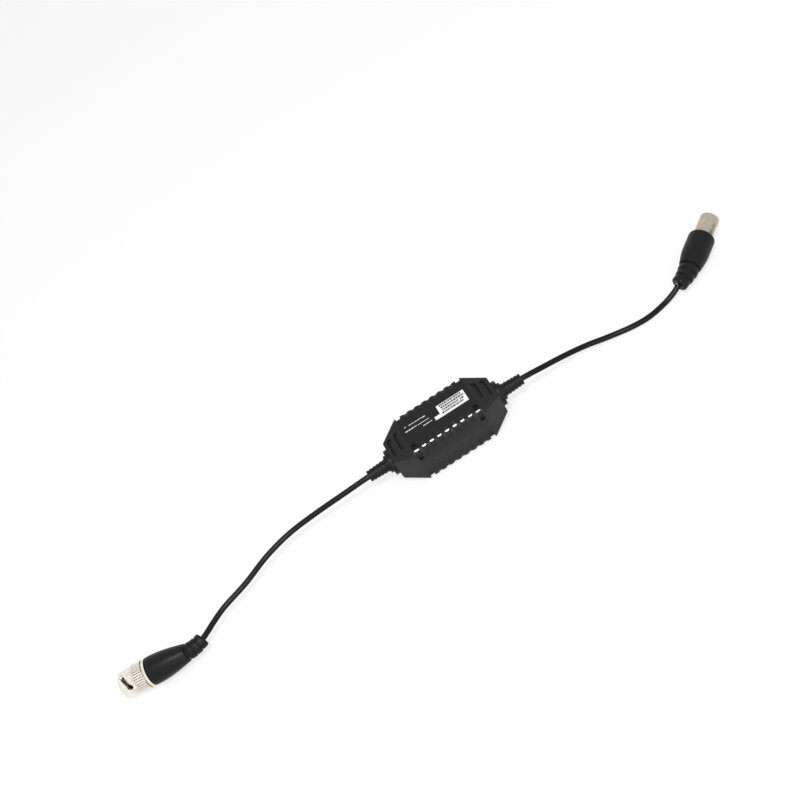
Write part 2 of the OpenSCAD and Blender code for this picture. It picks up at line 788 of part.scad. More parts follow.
module plug_body() {
    groove_d = bearing_d - 0.8;
    bore = core_d + 1.4;
    color([0.78, 0.77, 0.73]) on_plug() rotate_extrude() polygon([
        [sleeve_contact_id/2, sleeve_set_back], [sleeve_contact_d/2 - 0.2, sleeve_set_back],
        [sleeve_contact_d/2, sleeve_set_back + 0.3], [sleeve_contact_d/2, flange_s],
        [flange_d/2, flange_s], [flange_d/2, flange_s + flange_t],
        [bearing_d/2, flange_s + flange_t], [bearing_d/2, snap_ring_s - seat_gap],
        [groove_d/2, snap_ring_s - seat_gap], [groove_d/2, snap_ring_s + snap_ring_t + seat_gap],
        [bearing_d/2, snap_ring_s + snap_ring_t + seat_gap], [bearing_d/2, boot_s + 0.6],
        [shoulder_d/2, boot_s + 0.6], [shoulder_d/2, stem_s], [stem_d/2, stem_s],
        [stem_d/2, stem_end], [stem_bore/2, stem_end], [stem_bore/2, insulator_end],
        [bore, insulator_end], [bore, insulator_step], [sleeve_contact_id/2, insulator_step]]);
}

module plug_gasket() {
    color([0.75, 0.2, 0.15]) on_plug()
        tube(gasket_s + seat_gap, flange_s - seat_gap, flange_d - 0.2, sleeve_contact_d + 2*seat_gap);
}

module plug_insulator() {
    r_front = sleeve_contact_id/2 - seat_gap;
    r_rear = core_d + 1.4 - seat_gap;
    color([0.95, 0.95, 0.93]) on_plug() rotate_extrude() polygon([
        [jack_sleeve_d/2 + 0.1, insulator_front], [r_front, insulator_front],
        [r_front, insulator_step - seat_gap], [r_rear, insulator_step - seat_gap],
        [r_rear, insulator_end - seat_gap], [cup_d/2 + seat_gap, insulator_end - seat_gap],
        [cup_d/2 + seat_gap, pin_step - seat_gap], [pin_d/2 + seat_gap, pin_step - seat_gap],
        [pin_d/2 + seat_gap, cavity_end], [jack_sleeve_d/2 + 0.1, cavity_end]]);
}

module centre_pin() {
    tip = 0.9;
    color([0.85, 0.68, 0.3]) on_plug() difference() {
        rotate_extrude() polygon([
            [0, pin_set_back], [0.3, pin_set_back], [pin_d/2, pin_set_back + tip],
            [pin_d/2, pin_step], [cup_d/2, pin_step], [cup_d/2, insulator_end - 0.4],
            [0, insulator_end - 0.4]]);
        translate([0, 0, insulator_end - 2.4]) cylinder(d = wire_d + 2*seat_gap, h = 3);
    }
}

module plug_crimp() {
    color([0.7, 0.7, 0.68]) on_plug()
        tube(stem_s + seat_gap, stem_s + crimp_l, stem_d + 2*crimp_t, stem_d + 2*seat_gap);
}

// The stripped coax inside the plug, and its jacket out to the boot's tail
module plug_core() {
    color([0.9, 0.9, 0.88]) on_plug() {
        translate([0, 0, insulator_end - 2.4 + seat_gap]) cylinder(d = wire_d, h = 4);
        translate([0, 0, insulator_end + seat_gap]) cylinder(d = core_d, h = stem_end - insulator_end);
        translate([0, 0, stem_end + seat_gap]) cylinder(d = lead_d, h = boot_end - stem_end - seat_gap);
        translate([0, 0, boot_end]) sphere(d = lead_d + seat_gap);
        translate([0, 0, boot_end]) rotate([-boot_bend, 0, 0]) cylinder(d = lead_d, h = boot_tail_l);
    }
}

// Everything that the plug's boot is moulded round
module plug_boot_cavity() {
    grip = bearing_d/2 + seat_gap;
    translate([0, 0, boot_s - 1]) cylinder(r = grip, h = 1.6);
    translate([0, 0, boot_s + 0.6 - seat_gap])
        cylinder(d = shoulder_d + 2*seat_gap, h = stem_s - boot_s - 0.6 + 2*seat_gap);
    translate([0, 0, stem_s]) cylinder(d = stem_d + 2*crimp_t + 2*seat_gap, h = crimp_l + seat_gap);
    translate([0, 0, stem_s]) cylinder(d = stem_d + 2*seat_gap, h = stem_end - stem_s + seat_gap);
    translate([0, 0, stem_end - 1]) cylinder(d = lead_d + 2*seat_gap, h = boot_end - stem_end + 1);
    translate([0, 0, boot_end]) sphere(d = lead_d + 5*seat_gap);
    translate([0, 0, boot_end]) rotate([-boot_bend, 0, 0])
        cylinder(d = lead_d + 2*seat_gap, h = boot_tail_l + 1);
}

module plug_boot() {
    waist_r = boot_waist_d/2;
    tail_r = boot_tail_d/2;
    top_r = boot_d/2;
    steps = 12;
    full = boot_s + boot_full_l;
    color([0.15, 0.15, 0.155]) on_plug() difference() {
        union() {
            rotate_extrude() polygon(concat(
                [[0, boot_s], [top_r - 0.3, boot_s], [top_r, boot_s + 0.3], [top_r, full]],
                [for (i = [1 : steps]) [waist_r + (top_r - waist_r)*cos(90*i/steps),
                    full + (boot_end - full)*i/steps]],
                [[0, boot_end]]));
            translate([0, 0, boot_end]) sphere(r = tail_r - boot_groove/2);
            translate([0, 0, boot_end]) rotate([-boot_bend, 0, 0]) rotate_extrude() polygon(concat(
                [[0, 0], [tail_r - boot_groove, 0]],
                ringed(tail_start, boot_tail_l - 0.6, tail_r + 0.15, tail_r - 0.2, 3, boot_groove,
                    tail_share),
                [[tail_r - 0.7, boot_tail_l], [0, boot_tail_l]]));
        }
        plug_boot_cavity();
    }
}

// Jack: the local axis runs back from the barrel's rim

module on_jack() {
    translate([jack_x, jack_y, jack_z]) rotate([0, 0, jack_yaw]) rotate([0, -90 - jack_tilt, 0]) children();
}

module jack_barrel() {
    edge = 0.3;
    bore = jack_sleeve_d/2 + 0.4;
    color([0.8, 0.79, 0.76]) on_jack() {
        rotate_extrude() polygon([
            [barrel_id/2, edge], [barrel_id/2 + edge, 0], [barrel_d/2 - edge, 0], [barrel_d/2, edge],
            [barrel_d/2, jack_boot_s + 1], [jack_flange_d/2, jack_boot_s + 1],
            [jack_flange_d/2, barrel_end], [stem_d/2, barrel_end], [stem_d/2, jack_stem_end],
            [stem_bore/2, jack_stem_end], [stem_bore/2, barrel_end - 1], [bore, barrel_end - 1],
            [bore, barrel_floor], [barrel_id/2, barrel_floor]]);
        for (turn = [0, 180]) rotate([0, 0, stud_angle + turn])
            translate([barrel_id/2 + 0.3, 0, stud_s]) rotate([0, 90, 0])
                cylinder(d = stud_d, h = stud_across/2 - barrel_id/2 - 0.3);
    }
}

module jack_insulator() {
    r_front = jack_sleeve_d/2;
    r_rear = jack_sleeve_d/2 + 0.4 - seat_gap;
    hole = socket_d/2 + seat_gap;
    color([0.95, 0.95, 0.93]) on_jack() rotate_extrude() polygon([
        [hole, sleeve_front], [r_front - 0.2, sleeve_front], [r_front, sleeve_front + 0.3],
        [r_front, barrel_floor - 0.8], [barrel_id/2 - seat_gap, barrel_floor - 0.8],
        [barrel_id/2 - seat_gap, barrel_floor - seat_gap], [r_rear, barrel_floor - seat_gap],
        [r_rear, barrel_end - 1 - seat_gap], [hole, barrel_end - 1 - seat_gap]]);
}

module socket_contact() {
    bore = pin_d + 0.05;
    split_w = 0.25;
    color([0.85, 0.68, 0.3]) on_jack() difference() {
        translate([0, 0, socket_front]) cylinder(d = socket_d, h = barrel_end - 1.4 - socket_front);
        translate([0, 0, socket_front - 1]) cylinder(d = bore, h = 6.5);
        translate([0, 0, barrel_end - 3.4]) cylinder(d = wire_d + 2*seat_gap, h = 3);
        for (turn = [0, 90]) rotate([0, 0, turn])
            translate([-socket_d, -split_w/2, socket_front - 1]) cube([2*socket_d, split_w, 4.5]);
    }
}

module jack_crimp() {
    color([0.7, 0.7, 0.68]) on_jack()
        tube(barrel_end + seat_gap, barrel_end + crimp_l, stem_d + 2*crimp_t, stem_d + 2*seat_gap);
}

// The stripped coax inside the jack, and its jacket out to the boot's tail
module jack_core() {
    color([0.9, 0.9, 0.88]) on_jack() {
        translate([0, 0, barrel_end - 3.4 + seat_gap]) cylinder(d = wire_d, h = 4);
        translate([0, 0, barrel_end - 1 + seat_gap])
            cylinder(d = core_d, h = jack_stem_end - barrel_end + 1.2);
        translate([0, 0, jack_stem_end + seat_gap])
            cylinder(d = lead_d, h = jack_waist_s - jack_stem_end - seat_gap);
        translate([0, 0, jack_waist_s]) sphere(d = lead_d + seat_gap);
        translate([0, 0, jack_waist_s]) rotate([-jack_bend, 0, 0]) cylinder(d = lead_d, h = jack_tail_l);
    }
}

module jack_boot_cavity() {
    translate([0, 0, jack_boot_s - 1]) cylinder(r = barrel_d/2 + seat_gap, h = 2.2);
    translate([0, 0, jack_boot_s + 1 - seat_gap])
        cylinder(d = jack_flange_d + 2*seat_gap, h = barrel_end - jack_boot_s - 1 + 2*seat_gap);
    translate([0, 0, barrel_end]) cylinder(d = stem_d + 2*crimp_t + 2*seat_gap, h = crimp_l + seat_gap);
    translate([0, 0, barrel_end])
        cylinder(d = stem_d + 2*seat_gap, h = jack_stem_end - barrel_end + seat_gap);
    translate([0, 0, jack_stem_end - 1])
        cylinder(d = lead_d + 2*seat_gap, h = jack_waist_s - jack_stem_end + 1);
    translate([0, 0, jack_waist_s]) sphere(d = lead_d + 5*seat_gap);
    translate([0, 0, jack_waist_s]) rotate([-jack_bend, 0, 0])
        cylinder(d = lead_d + 2*seat_gap, h = jack_tail_l + 1);
}

module jack_boot() {
    first_r = jack_waist_d/2 - 0.4;
    tail_r = jack_tail_d/2;
    dome_s = jack_tail_l - jack_dome_r;
    color([0.15, 0.15, 0.155]) on_jack() difference() {
        union() {
            rotate_extrude() polygon(concat([[0, jack_boot_s]], jack_profile, [[0, jack_waist_s]]));
            translate([0, 0, jack_waist_s]) sphere(r = first_r - tail_groove/2);
            translate([0, 0, jack_waist_s]) rotate([-jack_bend, 0, 0]) rotate_extrude() polygon(concat(
                [[0, 0], [first_r - tail_groove, 0]],
                ringed(tail_start, dome_s, first_r, tail_r, 3, tail_groove, tail_share),
                [for (a = [22.5 : 22.5 : 90])
                    [tail_r - jack_dome_r*(1 - cos(a)), dome_s + jack_dome_r*sin(a)]],
                [[0, jack_tail_l]]));
        }
        jack_boot_cavity();
    }
}

top_shell();
bottom_shell();
label();
plug_strain_relief();
jack_strain_relief();
circuit_board();
ferrite_core();
primary_winding();
secondary_winding();
bypass_capacitors();
bleed_resistor();
solder_joints();
plug_lead_end();
jack_lead_end();
plug_lead();
jack_lead();
plug_boot();
plug_body();
coupling_nut();
spring_washer();
snap_ring();
plug_gasket();
plug_insulator();
centre_pin();
plug_crimp();
plug_core();
jack_boot();
jack_barrel();
jack_insulator();
socket_contact();
jack_crimp();
jack_core();
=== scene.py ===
import bpy, bmesh, random
from math import radians, sin, cos, pi
from mathutils import Matrix, Vector


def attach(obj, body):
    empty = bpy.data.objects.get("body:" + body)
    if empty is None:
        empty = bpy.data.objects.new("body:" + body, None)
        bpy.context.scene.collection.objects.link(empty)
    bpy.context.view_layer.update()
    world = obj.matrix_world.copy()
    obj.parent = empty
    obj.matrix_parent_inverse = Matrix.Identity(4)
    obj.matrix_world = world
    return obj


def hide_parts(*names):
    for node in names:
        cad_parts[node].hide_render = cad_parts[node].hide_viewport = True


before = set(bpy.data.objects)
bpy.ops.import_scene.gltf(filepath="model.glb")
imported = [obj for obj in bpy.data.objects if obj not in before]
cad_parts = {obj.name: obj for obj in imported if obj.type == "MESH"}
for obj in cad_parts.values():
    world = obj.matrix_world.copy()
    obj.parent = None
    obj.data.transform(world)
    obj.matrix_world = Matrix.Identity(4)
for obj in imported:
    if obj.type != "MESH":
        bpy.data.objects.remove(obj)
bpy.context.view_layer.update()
mm = 0.001
print("frame loaded:", len(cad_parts), "nodes")

# Camera: close to the object and 45 degrees up, with the picture turned so that the leads rise to the right

cameraShot = {
    "elevation": 45.0,
    "azimuth": 1.325,
    "pictureTurn": 33.72,
    "distance": 540.0,      # mm to the housing
    "aimLeft": 10.86,       # mm, the picture's middle is this far left of the housing
    "aimUp": 23.48,
    "housingMiddle": (0, 0, 11.25),
    "lens": 49.8,
    "sensor": 36.0,
}


def makeCamera(shot):
    lift, swing, turn = (radians(shot[k]) for k in ("elevation", "azimuth", "pictureTurn"))
    right = Vector((cos(swing), sin(swing), 0))
    forward = Vector((-sin(swing)*cos(lift), cos(swing)*cos(lift), -sin(lift)))
    up = right.cross(forward)
    place = Vector(shot["housingMiddle"]) - right*shot["aimLeft"] + up*shot["aimUp"] - forward*shot["distance"]
    across = right*cos(turn) - up*sin(turn)
    upward = right*sin(turn) + up*cos(turn)
    lens = bpy.data.cameras.new("photoCamera")
    lens.lens = shot["lens"]
    lens.sensor_width = shot["sensor"]
    lens.sensor_fit = "HORIZONTAL"
    lens.clip_start = 0.01
    camera = bpy.data.objects.new("photoCamera", lens)
    bpy.context.scene.collection.objects.link(camera)
    camera.matrix_world = Matrix((
        (across.x, upward.x, -forward.x, place.x*mm),
        (across.y, upward.y, -forward.y, place.y*mm),
        (across.z, upward.z, -forward.z, place.z*mm),
        (0, 0, 0, 1)))
    bpy.context.scene.camera = camera


makeCamera(cameraShot)
print("camera placed")

# Where the plug and the jack lie, as in the CAD source: local z runs back from the rim

plugPlace = {"rim": (-195.5, -24.4, 7.32), "yaw": 6.1, "bootStart": 15.1, "pivot": 34.8, "bend": 17.0, "tail": 9.8}
jackPlace = {"rim": (169.2, 25.4, 7.9639), "yaw": 37.2, "tilt": 3.2, "bootStart": 11.9, "pivot": 31.3, "bend": 9.5,
             "tail": 11.8}


def plugMatrix():
    return (Matrix.Translation(Vector(plugPlace["rim"])*mm)
            @ Matrix.Rotation(-radians(plugPlace["yaw"]), 4, "Z") @ Matrix.Rotation(pi/2, 4, "Y"))


def jackMatrix():
    return (Matrix.Translation(Vector(jackPlace["rim"])*mm) @ Matrix.Rotation(radians(jackPlace["yaw"]), 4, "Z")
            @ Matrix.Rotation(-radians(90 + jackPlace["tilt"]), 4, "Y"))


def alongBoot(start, look):
    pivot, tail, bend = look["pivot"], look["tail"], radians(look["bend"])
    radius = tail/(2*sin(bend))     # the tail's arc ends where the CAD source's straight one does

    def frameAt(s):
        if s <= pivot:
            return start @ Matrix.Translation((0, 0, s*mm))
        a = 2*bend*(s - pivot)/tail
        middle = Matrix.Translation((0, radius*(1 - cos(a))*mm, (pivot + radius*sin(a))*mm))
        return start @ middle @ Matrix.Rotation(-a, 4, "X")

    return frameAt


def collect(obj):
    bpy.context.scene.collection.objects.link(obj)
    return obj


# Leads: the route's points are those of the CAD source

leadLook = {
    "diameter": 2.9,
    "stepsPerPoint": 8,
    "reliefTip": 44.2,
    "plugRoute": [(-48, 0, 11.2), (-60, 0, 10.6), (-76, 0, 9.8), (-92, -1, 9), (-107, -5, 8.4),
                  (-122, -12, 7.9), (-136, -17, 7.5), (-143.8, -21.4, 7.4), (-147.8, -24.1, 7.3)],
    "jackRoute": [(48, 0, 11), (56, 0.4, 9.6), (68, 1.4, 7), (80, 1.8, 4.2), (92, 0.3, 2.2),
                  (104, -2, 1.7), (114, -2.5, 1.6), (124, -0.9, 2.1), (130.2, 0, 4)],
}


def smoothRoute(points, steps):
    pts = [Vector(p) for p in points]
    out = []
    for i in range(len(pts) - 1):
        a, b, c, d = pts[max(i - 1, 0)], pts[i], pts[i + 1], pts[min(i + 2, len(pts) - 1)]
        for j in range(steps):
            t = j/steps
            out.append(0.5*((2*b) + (c - a)*t + (2*a - 5*b + 4*c - d)*t*t + (3*b - a - 3*c + d)*t*t*t))
    return out + [pts[-1]]


def makeLead(name, route):
    points = smoothRoute(route, leadLook["stepsPerPoint"])
    curve = bpy.data.curves.new(name, "CURVE")
    curve.dimensions = "3D"
    spline = curve.splines.new("POLY")
    spline.points.add(len(points) - 1)
    for target, p in zip(spline.points, points):
        target.co = (*(p*mm), 1)
    curve.bevel_depth = leadLook["diameter"]/2*mm
    curve.bevel_resolution = 5
    curve.use_fill_caps = True
    spline.use_smooth = True
    obj = collect(bpy.data.objects.new(name, curve))
    length = sum((b - a).length for a, b in zip(points, points[1:]))*mm
    return obj, length


plugExit = alongBoot(plugMatrix(), plugPlace)(plugPlace["pivot"] + plugPlace["tail"]).translation
jackExit = alongBoot(jackMatrix(), jackPlace)(jackPlace["pivot"] + jackPlace["tail"]).translation
housingMiddle = cameraShot["housingMiddle"][2]
plugLead, plugLeadLength = makeLead("plugLead", [(-leadLook["reliefTip"], 0, housingMiddle)]
                                    + leadLook["plugRoute"] + [plugExit/mm])
jackLead, jackLeadLength = makeLead("jackLead", [(leadLook["reliefTip"], 0, housingMiddle)]
                                    + leadLook["jackRoute"] + [jackExit/mm])
print("leads:", round(plugLeadLength, 4), round(jackLeadLength, 4))

# Lathe work: an outline of (radius, distance along) pairs, with its corners rounded, turned about local z


def roundOutline(outline, radius, steps=3, reach=0.45):
    out = [Vector(outline[0])]
    for before, corner, after in zip(outline, outline[1:], outline[2:]):
        before, corner, after = Vector(before), Vector(corner), Vector(after)
        inLength, outLength = (corner - before).length, (after - corner).length
        cut = min(radius, inLength*reach, outLength*reach)
        start = corner + (before - corner)*(cut/inLength)
        end = corner + (after - corner)*(cut/outLength)
        for i in range(steps + 1):
            t = i/steps
            out.append(start*(1 - t)**2 + corner*2*t*(1 - t) + end*t*t)
    return out + [Vector(outline[-1])]


def turnOutline(name, outline, frameAt, segments=96, closed=False):
    mesh = bmesh.new()
    rings = []
    for r, s in outline:
        place = frameAt(s)
        if r < 1e-6:
            rings.append([mesh.verts.new(place.translation)])
        else:
            rings.append([mesh.verts.new(place @ Vector((r*mm*cos(2*pi*k/segments), r*mm*sin(2*pi*k/segments), 0)))
                          for k in range(segments)])
    pairs = list(zip(rings, rings[1:])) + ([(rings[-1], rings[0])] if closed else [])
    for a, b in pairs:
        for k in range(segments):
            m = (k + 1) % segments
            if len(a) == 1:
                corners = [a[0], b[m], b[k]]
            elif len(b) == 1:
                corners = [a[k], a[m], b[0]]
            else:
                corners = [a[k], a[m], b[m], b[k]]
            mesh.faces.new(corners)
    bmesh.ops.recalc_face_normals(mesh, faces=mesh.faces)
    return finishMesh(name, mesh)


def finishMesh(name, mesh):
    data = bpy.data.meshes.new(name)
    mesh.to_mesh(data)
    mesh.free()
    data.polygons.foreach_set("use_smooth", [True]*len(data.polygons))
    return collect(bpy.data.objects.new(name, data))


def ringedOutline(start, end, startRadius, endRadius, count, depth, share=0.55):
    pitch = (end - start)/(count - 1 + share)
    out = []
    for i in range(count):
        r = startRadius + (endRadius - startRadius)*i/(count - 1)
        a = start + i*pitch
        b = a + share*pitch
        out += [(r, a), (r, b)]
        if i < count - 1:
            out += [(r - depth, b), (r - depth, a + pitch)]
    return out


# Strain reliefs against the housing's ends

reliefLook = {
    "endFace": 30.02, "collar": 13.4, "collarEnd": 32.1, "step": 9.2, "stepEnd": 33.6, "tip": 44.2,
    "sleeve": 6.8, "sleeveTip": 5.9, "rings": 6, "grooveDepth": 0.3, "neck": 8.0, "inner": 9.8,
    "innerStart": 26.78, "innerEnd": 28.18, "bore": 1.47, "corner": 0.28,
}


def makeRelief(name, side):
    look = reliefLook
    outline = [(look["bore"], look["innerStart"]), (look["inner"]/2, look["innerStart"]),
               (look["inner"]/2, look["innerEnd"]), (look["neck"]/2, look["innerEnd"]),
               (look["neck"]/2, look["endFace"]), (look["collar"]/2, look["endFace"]),
               (look["collar"]/2, look["collarEnd"]), (look["step"]/2, look["collarEnd"]),
               (look["step"]/2, look["stepEnd"])]
    outline += ringedOutline(look["stepEnd"], look["tip"], look["sleeve"]/2, look["sleeveTip"]/2,
                             look["rings"], look["grooveDepth"])
    outline += [(look["bore"], look["tip"])]
    place = Matrix.Translation((0, 0, housingMiddle*mm)) @ Matrix.Rotation(side*pi/2, 4, "Y")

    def frameAt(s):
        return place @ Matrix.Translation((0, 0, s*mm))

    return turnOutline(name, roundOutline(outline, look["corner"]), frameAt, closed=True)


plugRelief = makeRelief("plugReliefSleeve", -1)
jackRelief = makeRelief("jackReliefSleeve", 1)
print("strain reliefs made")

# Boots moulded on to the connectors

plugBootLook = {"front": 14.2, "waist": 8.9, "tail": 8.0, "straight": 1.3, "bore": 4.22, "innerEnd": 17.0,
                "tailStart": 1.1, "tailGroove": 0.5, "tailShare": 0.8, "firstRing": 0.15, "lastRing": -0.2,
                "neckGap": 0.15, "lip": 0.3, "tailLip": 0.6, "tailTaper": 0.7, "tailRings": 3, "corner": 0.3}
jackBootLook = {"front": 13.4, "waist": 10.9, "tail": 8.4, "shoulder": 1.8, "straight": 8.0, "bore": 4.845,
                "innerEnd": 12.9, "tailStart": 1.1, "tailGroove": 0.7, "tailShare": 0.8, "dome": 1.2,
                "firstRing": 0.4, "neckGap": 0.15, "tailRings": 3, "corner": 0.3}


def makePlugBoot(look):
    start, end, length = plugPlace["bootStart"], plugPlace["pivot"], plugPlace["tail"]
    full = start + look["straight"]
    front, waist, tail, groove = look["front"]/2, look["waist"]/2, look["tail"]/2, look["tailGroove"]
    outline = [(0, look["innerEnd"]), (look["bore"], look["innerEnd"]), (look["bore"], start),
               (front - look["lip"], start), (front, start + look["lip"]), (front, full)]
    steps = 24
    for i in range(1, steps + 1):
        outline.append((waist + (front - waist)*cos(pi/2*i/steps), full + (end - full)*i/steps))
    outline += [(tail - groove, end + look["neckGap"]), (tail - groove, end + look["tailStart"])]
    outline += ringedOutline(end + look["tailStart"], end + length - look["tailLip"], tail + look["firstRing"],
                             tail + look["lastRing"], look["tailRings"], groove, look["tailShare"])
    outline += [(tail - look["tailTaper"], end + length), (0, end + length)]
    return turnOutline("plugBootBody", roundOutline(outline, look["corner"]), alongBoot(plugMatrix(), plugPlace))


def makeJackBoot(look):
    start, end, length = jackPlace["bootStart"], jackPlace["pivot"], jackPlace["tail"]
    front, waist, tail, shoulder = look["front"]/2, look["waist"]/2, look["tail"]/2, look["shoulder"]
    groove, first, dome = look["tailGroove"], waist - look["firstRing"], look["dome"]
    outline = [(0, look["innerEnd"]), (look["bore"], look["innerEnd"]), (look["bore"], start)]
    for i in range(9):
        a = pi/2*i/8
        outline.append((front - shoulder*(1 - sin(a)), start + shoulder*(1 - cos(a))))
    taper = start + shoulder + look["straight"]
    for i in range(17):
        outline.append((waist + (front - waist)*cos(pi/2*i/16), taper + (end - taper)*i/16))
    outline += [(first - groove, end + look["neckGap"]), (first - groove, end + look["tailStart"])]
    rings = ringedOutline(end + look["tailStart"], end + length - dome, first, tail, look["tailRings"], groove,
                          look["tailShare"])
    for i in range(1, 7):
        a = pi/2*i/6
        rings.append((tail - dome*(1 - cos(a)), end + length - dome*(1 - sin(a))))
    return turnOutline("jackBootBody", roundOutline(outline + rings + [(0, end + length)], look["corner"]),
                       alongBoot(jackMatrix(), jackPlace))


plugBoot = makePlugBoot(plugBootLook)
jackBoot = makeJackBoot(jackBootLook)
print("boots made")

# Print: bare bars where the real one has words, in rows of (start, end, middle across, width)

printLook = {
    "topFace": 22.5, "thickness": 0.03, "gap": 0.25, "words": (0.5, 1.6), "shortest": 0.3, "seed": 5,
    "rows": [(-16.9, -15.6, 4.0, 0.35), (-14.4, -7.2, 3.7, 0.4), (-7.0, -5.0, 3.5, 0.7), (-17.4, -11.0, 1.0, 0.6),
             (-10.4, -4.2, 0.8, 0.4), (-8.4, -3.4, -1.6, 0.5)],
}
labelPrintLook = {
    "topFace": 22.7, "thickness": 0.02, "gap": 0.24, "words": (0.45, 1.3), "shortest": 0.3, "seed": 9,
    "rows": [(2.9, 15.6, 3.6, 1.2), (3.2, 16.1, 1.95, 1.2), (3.4, 12.6, 0.25, 1.2), (13.4, 15.9, 0.25, 1.2),
             (2.6, 14.6, -1.5, 1.15)],
}


def makeBars(name, look):
    mesh = bmesh.new()
    dice = random.Random(look["seed"])
    low, high = look["topFace"]*mm, (look["topFace"] + look["thickness"])*mm
    for start, end, y, wide in look["rows"]:
        x = start
        while x < end - look["shortest"]:
            stop = min(x + dice.uniform(*look["words"]), end)
            corners = [(x, y - wide/2), (stop, y - wide/2), (stop, y + wide/2), (x, y + wide/2)]
            under = [mesh.verts.new((a*mm, b*mm, low)) for a, b in corners]
            over = [mesh.verts.new((a*mm, b*mm, high)) for a, b in corners]
            mesh.faces.new(over)
            mesh.faces.new(list(reversed(under)))
            for k in range(4):
                m = (k + 1) % 4
                mesh.faces.new([under[k], under[m], over[m], over[k]])
            x = stop + look["gap"]
    obj = finishMesh(name, mesh)
    obj.data.polygons.foreach_set("use_smooth", [False]*len(obj.data.polygons))
    return obj


topPrint = makeBars("topPrint", printLook)
labelPrint = makeBars("labelPrint", labelPrintLook)
print("print made")

# Polished lands in the valleys and notches of the grip's upper front edge, each with a facet along its middle.
# They are a guess, for the white glints seen there: facetTurn lies halfway between the overhead lamp and the camera.

landLook = {
    "places": [(-17.3, 1.0), (-12.9, 0.5), (-8.6, 0.5), (-4.3, 0.5), (0, 0.5), (4.3, 0.5), (8.6, 0.5), (12.9, 0.5),
               (17.3, 1.0)],
    "length": 2.3, "reach": 0.27, "halfWidth": 14.0, "height": 22.5, "edge": 3.0,
    "facetAt": 68.0, "facetTurn": 55.5, "facetHalf": 0.36, "span": (50.0, 84.0), "sunk": 0.05,
    "root": 0.4,
}


def landSection(look, depth):
    floor = look["edge"] - depth
    at, turn = radians(look["facetAt"]), radians(look["facetTurn"])
    middle = Vector((cos(at), sin(at)))*(floor + look["reach"])
    along = Vector((-sin(turn), cos(turn)))*look["facetHalf"]
    first, last = [Vector((cos(radians(a)), sin(radians(a)))) for a in look["span"]]
    top, root = floor - look["sunk"], floor - look["root"]
    return [first*top, middle - along, middle + along, last*top, last*root, first*root]


def makeLands(look):
    mesh = bmesh.new()
    middleY, middleZ = look["edge"] - look["halfWidth"], look["height"] - look["edge"]
    for x, depth in look["places"]:
        ends = [[mesh.verts.new((end*mm, (middleY - p.x)*mm, (middleZ + p.y)*mm)) for p in landSection(look, depth)]
                for end in (x - look["length"]/2, x + look["length"]/2)]
        for k in range(len(ends[0])):
            m = (k + 1) % len(ends[0])
            mesh.faces.new([ends[0][k], ends[0][m], ends[1][m], ends[1][k]])
        mesh.faces.new(ends[0])
        mesh.faces.new(list(reversed(ends[1])))
    bmesh.ops.recalc_face_normals(mesh, faces=mesh.faces)
    obj = finishMesh("gripLands", mesh)
    obj.data.polygons.foreach_set("use_smooth", [False]*len(obj.data.polygons))
    return obj


gripLands = makeLands(landLook)
print("grip lands made")

# Shader groups shared by several finishes


def addGroup(name, inputs, outputs):
    tree = bpy.data.node_groups.new(name, "ShaderNodeTree")
    for label, kind, value in inputs:
        socket = tree.interface.new_socket(name=label, in_out="INPUT", socket_type=kind)
        socket.default_value = value
    for label, kind in outputs:
        tree.interface.new_socket(name=label, in_out="OUTPUT", socket_type=kind)
    return tree, tree.nodes.new("NodeGroupInput"), tree.nodes.new("NodeGroupOutput")


def addNode(tree, kind, values=None, **settings):
    node = tree.nodes.new(kind)
    for key, value in settings.items():
        setattr(node, key, value)
    for key, value in (values or {}).items():
        node.inputs[key].default_value = value
    return node


def sparkGrain():
    tree, given, result = addGroup("sparkGrain", [
        ("Grains per Metre", "NodeSocketFloat", 2500.0), ("Wander", "NodeSocketFloat", 0.4)],
        [("Height", "NodeSocketFloat"), ("Speck", "NodeSocketFloat")])
    where = addNode(tree, "ShaderNodeTexCoord")
    cells = addNode(tree, "ShaderNodeTexVoronoi", feature="F1")
    waves = addNode(tree, "ShaderNodeTexNoise", {"Detail": 3.0, "Roughness": 0.6})
    mix = addNode(tree, "ShaderNodeMath", operation="MULTIPLY_ADD")
    tree.links.new(where.outputs["Object"], cells.inputs["Vector"])
    tree.links.new(where.outputs["Object"], waves.inputs["Vector"])
    tree.links.new(given.outputs["Grains per Metre"], cells.inputs["Scale"])
    tree.links.new(given.outputs["Grains per Metre"], waves.inputs["Scale"])
    tree.links.new(waves.outputs["Fac"], mix.inputs[0])
    tree.links.new(given.outputs["Wander"], mix.inputs[1])
    tree.links.new(cells.outputs["Distance"], mix.inputs[2])
    tree.links.new(mix.outputs[0], result.inputs["Height"])
    tree.links.new(waves.outputs["Fac"], result.inputs["Speck"])
    return tree


def handledPatches():
    tree, given, result = addGroup("handledPatches", [
        ("Patches per Metre", "NodeSocketFloat", 120.0), ("Low", "NodeSocketFloat", 0.4),
        ("High", "NodeSocketFloat", 0.6)],
        [("Value", "NodeSocketFloat")])
    where = addNode(tree, "ShaderNodeTexCoord")
    waves = addNode(tree, "ShaderNodeTexNoise", {"Detail": 4.0, "Roughness": 0.55})
    spread = addNode(tree, "ShaderNodeMapRange", {"From Min": 0.3, "From Max": 0.7})
    tree.links.new(where.outputs["Object"], waves.inputs["Vector"])
    tree.links.new(given.outputs["Patches per Metre"], waves.inputs["Scale"])
    tree.links.new(waves.outputs["Fac"], spread.inputs["Value"])
    tree.links.new(given.outputs["Low"], spread.inputs["To Min"])
    tree.links.new(given.outputs["High"], spread.inputs["To Max"])
    tree.links.new(spread.outputs["Result"], result.inputs["Value"])
    return tree


